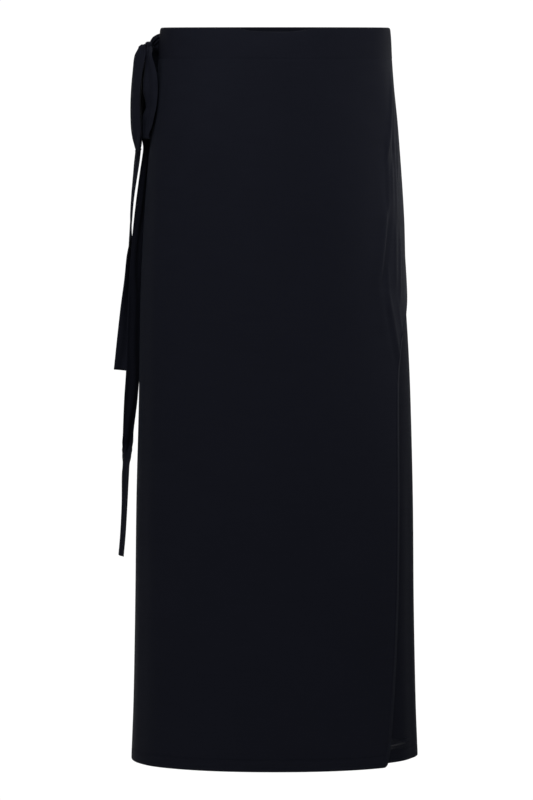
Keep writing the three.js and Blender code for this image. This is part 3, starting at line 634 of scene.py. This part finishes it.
class Value:
    """A shader value, so that arithmetic on it writes Math nodes."""

    def __init__(self, tree, socket):
        self.tree = tree
        self.socket = socket

    def maths(self, operation, *inputs):
        node = self.tree.nodes.new("ShaderNodeMath")
        node.operation = operation
        plug(self.tree, node.inputs, inputs)
        return Value(self.tree, node.outputs[0])

    def __add__(self, other):
        return self.maths("ADD", self, other)

    def __rsub__(self, other):
        return self.maths("SUBTRACT", other, self)

    def __mul__(self, other):
        return self.maths("MULTIPLY", self, other)

    def __truediv__(self, other):
        return self.maths("DIVIDE", self, other)

    __radd__ = __add__
    __rmul__ = __mul__

    def sine(self):
        return self.maths("SINE", self)

    def at_most(self, level):
        return self.maths("MINIMUM", self, level)

    def power(self, exponent):
        return self.maths("POWER", self, exponent)

    def above(self, level):
        return self.maths("GREATER_THAN", self, level)

    def below(self, level):
        return self.maths("LESS_THAN", self, level)

    def clipped(self):
        """The value held between 0 and 1."""
        return self.maths("MAXIMUM", self, 0.0).at_most(1.0)


def plug(tree, sockets, values):
    """Links or sets each input socket from a shader value or a plain one."""
    for socket, value in zip(sockets, values):
        if isinstance(value, Value):
            tree.links.new(value.socket, socket)
        elif value is not None:
            socket.default_value = value


class Surface:
    """A material's nodes."""

    def __init__(self, name):
        self.material = bpy.data.materials.new(name)
        self.material.use_nodes = True
        self.tree = self.material.node_tree
        self.shader = self.tree.nodes["Principled BSDF"]

    def node(self, kind, output, settings=(), **inputs):
        """Adds a node of that type with its settings and socket values, and gives the named output."""
        made = self.tree.nodes.new(kind)
        for key, value in dict(settings).items():
            setattr(made, key, value)
        names = [key.replace("_", " ").title() for key in inputs]
        plug(self.tree, [made.inputs[key] for key in names], inputs.values())
        return Value(self.tree, made.outputs[output])

    def set(self, **inputs):
        """Sets or links sockets of the main shader."""
        names = [key.replace("_", " ").title() for key in inputs]
        names = [{"Ior": "IOR", "Specular Ior Level": "Specular IOR Level"}.get(key, key) for key in names]
        plug(self.tree, [self.shader.inputs[key] for key in names], inputs.values())


def knit(name):
    """Fine jersey: dark cloth with faint slub streaks along the rows, wales as a fine bump, and a sheen; a
    cloth's shade below 1 puts painted shade on its colour.
    """
    sizes = settings()
    kind = CLOTHS[name]
    cloth = Surface(name)
    place = cloth.node("ShaderNodeUVMap", "UV", {"uv_map": UV_NAME})
    along = cloth.node("ShaderNodeSeparateXYZ", "X", vector=place)
    down = Value(cloth.tree, along.socket.node.outputs["Y"])

    def noise(across_scale, down_scale, detail, shift):
        """Soft noise, stretched by its two scales."""
        at = cloth.node(
            "ShaderNodeCombineXYZ", "Vector", x=along * across_scale, y=down * down_scale, z=shift
        )
        return cloth.node("ShaderNodeTexNoise", "Fac", vector=at, scale=1.0, detail=detail)

    slubs = noise(18.0, 520.0, 2.0, 0.0)
    patches = noise(9.0, 7.0, 2.0, 3.0)
    # slubs and patches vary the tone at random; the cloth's shade factor adds painted shade
    shade = (0.78 + slubs * 0.3 + patches * 0.14) * kind.shade
    dark = cloth.node("ShaderNodeVectorMath", "Vector", {"operation": "SCALE"}, scale=shade)
    dark.socket.node.inputs[0].default_value = sizes.colour[:3]
    wales = (along * (MILLIMETRE_WAVES / sizes.wale_pitch)).sine()
    rows = (down * (MILLIMETRE_WAVES / sizes.row_pitch) + wales * 1.2).sine()
    height = wales * 0.25 + rows * 0.3 + slubs * 0.9
    bump = cloth.node("ShaderNodeBump", "Normal", distance=sizes.knit_depth, strength=0.6, height=height)
    cloth.set(base_color=dark, roughness=0.82 - slubs * 0.12, normal=bump, specular_ior_level=kind.gloss)
    cloth.set(sheen_weight=sizes.sheen * kind.sheen, sheen_roughness=0.45, sheen_tint=(0.6, 0.75, 1.0, 1.0))
    if kind.sheer:
        above_fold = down.above((HEM_FOLD - LENGTH) / 1000)
        low = down.below(-SHEER_FROM)
        aside = ((SHEER_SIDE - along) / SHEER_FADE).clipped()
        open_knit = (noise(20.0, 380.0, 1.0, 7.0) * 1.7).power(3.0)
        cloth.set(alpha=1 - above_fold * low * aside * open_knit * (sizes.sheer * kind.sheer))
    return cloth.material


def jersey(name):
    """The named jersey, made once."""
    return bpy.data.materials.get(name) or knit(name)


def settings():
    """The scene's settings of the skirt."""
    return bpy.context.scene.wrap_skirt


class SkirtSettings(bpy.types.PropertyGroup):
    """Sizes and finish of the skirt."""

    cell: bpy.props.FloatProperty(
        name="Cell", description="Size of the panels' grid in mm", default=5.0, min=2.0
    )
    fine_cell: bpy.props.FloatProperty(
        name="Fine cell", description="Height of the grid at the creases in mm", default=2.5
    )
    panel_wall: bpy.props.FloatProperty(
        name="Panel wall", description="Thickness of one panel in mm", default=0.9
    )
    band_wall: bpy.props.FloatProperty(
        name="Band wall", description="Thickness of the folded band in mm", default=1.7
    )
    colour: bpy.props.FloatVectorProperty(
        name="Colour", description="Colour of the jersey", subtype="COLOR", default=(0.0052, 0.0057, 0.0091)
    )
    sheen: bpy.props.FloatProperty(name="Sheen", description="Weight of the soft sheen", default=0.006)
    wale_pitch: bpy.props.FloatProperty(name="Wale pitch", description="Width of a wale in mm", default=1.0)
    row_pitch: bpy.props.FloatProperty(name="Row pitch", description="Height of a row in mm", default=0.8)
    knit_depth: bpy.props.FloatProperty(
        name="Knit depth", description="Depth of the knit", subtype="DISTANCE", default=0.00018, precision=5
    )
    sheer: bpy.props.FloatProperty(name="Sheer", description="Light let through by a face", default=0.08)


class SKIRT_OT_panels(bpy.types.Operator):
    """Makes the three panels"""

    bl_idname = "skirt.panels"
    bl_label = "Panels"

    def execute(self, context):
        for name, shape in PANELS.items():
            piece = panel(name, shape, settings())
            sewn = [stitches(name + "_hem_stitches", hem_line, shape, cloth_width(shape))]
            if shape.free:
                down = LENGTH - HEM_FOLD - BAND_HEIGHT
                sewn.append(stitches(name + "_edge_stitches", edge_line, shape, down))
        return {"FINISHED"}


def waistband_section(name, start, end, face, thick):
    """A folded section between two turns, with its top corners rounded and the slit's half at a left end."""
    near = BAND_EDGE * thick
    width = np.radians(end - start) * BAND_RADIUS
    share, drop = np.meshgrid(spaced(0, width, 3, near) / width, spaced(0, BAND_HEIGHT, 1.25, near))
    slit = smooth(drop, SLIT_TOP - SLIT_EASE, SLIT_TOP + SLIT_EASE)
    slit = slit * (1 - smooth(drop, SLIT_BOTTOM - SLIT_EASE, SLIT_BOTTOM + SLIT_EASE))
    open_end = np.degrees(SLIT_HALF_WIDTH / BODY["front"][2]) * slit
    first = start + open_end * (name == "over_waistband")
    last = end - open_end * (name == "back_waistband")
    turn = first + (last - first) * share
    side = np.minimum(share, 1 - share) * width
    edge = np.maximum(rounded(side, thick / 2), rounded(np.minimum(drop, BAND_HEIGHT - drop), thick / 2))
    at_side = np.abs(np.sin(np.radians(turn))) ** 8
    out = face(turn, drop) + BAND_PROUD - 0.6 * rounded(drop, BAND_ROUND) * at_side
    cloth = jersey("Waistband jersey")
    piece = wall(name, turn, drop, out - edge, thick - 2 * edge, cloth)


class SKIRT_OT_waistband(bpy.types.Operator):
    """Makes the waistband's three sections"""

    bl_idname = "skirt.waistband"
    bl_label = "Waistband"

    def execute(self, context):
        thick = settings().band_wall
        under_start, over_end = UNDER_EDGE["turn"][0], OVER_EDGE["turn"][0]
        waistband_section("back_waistband", 180 - RIGHT_SEAM, 180 - LEFT_SEAM, under_face, thick)
        waistband_section("under_waistband", under_start, RIGHT_SEAM, under_face, thick)
        waistband_section("over_waistband", LEFT_SEAM, over_end, over_face, thick)
        return {"FINISHED"}


class SKIRT_OT_ties(bpy.types.Operator):
    """Makes the two ties and the bow"""

    bl_idname = "skirt.ties"
    bl_label = "Ties and bow"

    def execute(self, context):
        runs = {
            "tie_around_back": (laid_rows(AROUND_BACK, AROUND_BACK_END), 0.41),
            "tie_through_slit": (laid_rows(THROUGH_SLIT, THROUGH_SLIT_END), 0.1),
            "bow_front_loop": (free_rows(FRONT_LOOP), 0.26),
            "bow_back_loop": (free_rows(BACK_LOOP), 0.25),
            "bow_short_tail": (free_rows(SHORT_TAIL), 0.42),
            "bow_long_tail": (free_rows(LONG_TAIL), 0.66),
        }
        for number, (name, (rows, length)) in enumerate(runs.items()):
            piece = tie(name, rows, 2.5, 1.7 * number)
            0.8 * 0.026 * length
        knot()
        return {"FINISHED"}


def stage_mesh(name, points, faces, material):
    """A mesh that belongs to the stage alone."""
    mesh = bpy.data.meshes.new(name)
    mesh.from_pydata(points, [], faces)
    mesh.shade_smooth()
    mesh.materials.append(material)
    made = bpy.data.objects.new(name, mesh)
    bpy.context.scene.collection.objects.link(made)
    return made


def add_light(name, place, aim, size, power):
    """A soft round light that is turned to its aim."""
    lamp = bpy.data.lights.new(name, "AREA")
    lamp.shape = "DISK"
    lamp.size = size
    lamp.energy = power
    light = bpy.data.objects.new(name, lamp)
    light.location = place
    light.rotation_euler = (Vector(aim) - Vector(place)).to_track_quat("-Z", "Y").to_euler()
    light.visible_camera = False
    bpy.context.scene.collection.objects.link(light)


class SKIRT_OT_stage(bpy.types.Operator):
    """Makes the floor, the lights and the camera"""

    bl_idname = "skirt.stage"
    bl_label = "Stage"

    def execute(self, context):
        scene = context.scene
        scene.view_settings.view_transform = "Standard"
        pale = Surface("Pale floor")
        pale.set(base_color=(0.9, 0.9, 0.9, 1), roughness=0.9, specular_ior_level=0.1)
        self.add_floor(pale.material)
        self.add_world(scene)
        for light in LIGHTS:
            add_light(*light)
        camera = bpy.data.objects.new("camera", bpy.data.cameras.new("camera"))
        camera.data.lens = LENS
        camera.location = CAMERA_PLACE
        camera.rotation_euler = (np.pi / 2 - CAMERA_TILT, 0, 0)
        scene.collection.objects.link(camera)
        scene.camera = camera
        return {"FINISHED"}

    def add_floor(self, pale):
        """A floor that curves up into a wall by a quarter circle, which only lights, and a plate that shows."""
        bend = np.linspace(0, np.pi / 2, 24)
        radius, back, half, top = 1.5, 2.5, 9.0, 9
        y = np.r_[-radius, back + radius * np.sin(bend), back + radius]
        z = np.r_[FLOOR_LEVEL, FLOOR_LEVEL + radius * (1 - np.cos(bend)), top]
        points = [(x, y[i], z[i]) for i in range(len(y)) for x in (-half, half)]
        faces = [(2 * i, 2 * i + 1, 2 * i + 3, 2 * i + 2) for i in range(len(y) - 1)]
        stage_mesh("floor", points, faces, pale).visible_camera = False
        half, level = PLATE_HALF, FLOOR_LEVEL + PLATE_RISE
        corners = [(-half, -half, level), (half, -half, level), (half, half, level), (-half, half, level)]
        stage_mesh("plate", corners, [(0, 1, 2, 3)], pale)

    def add_world(self, scene):
        """White where the camera sees it, and weaker as a light."""
        world = bpy.data.worlds.new("Soft white")
        world.use_nodes = True
        tree = world.node_tree
        background = tree.nodes["Background"]
        background.inputs["Color"].default_value = (1, 1, 1, 1)
        seen = Value(tree, tree.nodes.new("ShaderNodeLightPath").outputs["Is Camera Ray"])
        plug(tree, [background.inputs["Strength"]], [0.14 + seen * 0.9])
        scene.world = world


class SKIRT_PT_panel(bpy.types.Panel):
    """Lists the skirt's settings and steps"""

    bl_label = "Wrap skirt"
    bl_idname = "SKIRT_PT_panel"
    bl_space_type = "VIEW_3D"
    bl_region_type = "UI"
    bl_category = "Wrap skirt"

    def draw(self, context):
        for key in SkirtSettings.__annotations__:
            self.layout.prop(context.scene.wrap_skirt, key)
        for step in STEPS:
            self.layout.operator(step.bl_idname)


STEPS = (SKIRT_OT_panels, SKIRT_OT_waistband, SKIRT_OT_ties, SKIRT_OT_stage)
CLASSES = (SkirtSettings, *STEPS, SKIRT_PT_panel)


def register():
    for made in CLASSES:
        bpy.utils.register_class(made)
    bpy.types.Scene.wrap_skirt = bpy.props.PointerProperty(type=SkirtSettings)


def unregister():
    del bpy.types.Scene.wrap_skirt
    for made in reversed(CLASSES):
        bpy.utils.unregister_class(made)


def main():
    """Makes every piece in order."""
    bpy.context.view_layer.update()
    register()
    bpy.ops.skirt.panels()
    bpy.ops.skirt.waistband()
    bpy.ops.skirt.ties()
    bpy.ops.skirt.stage()


if __name__ == "__main__":
    main()
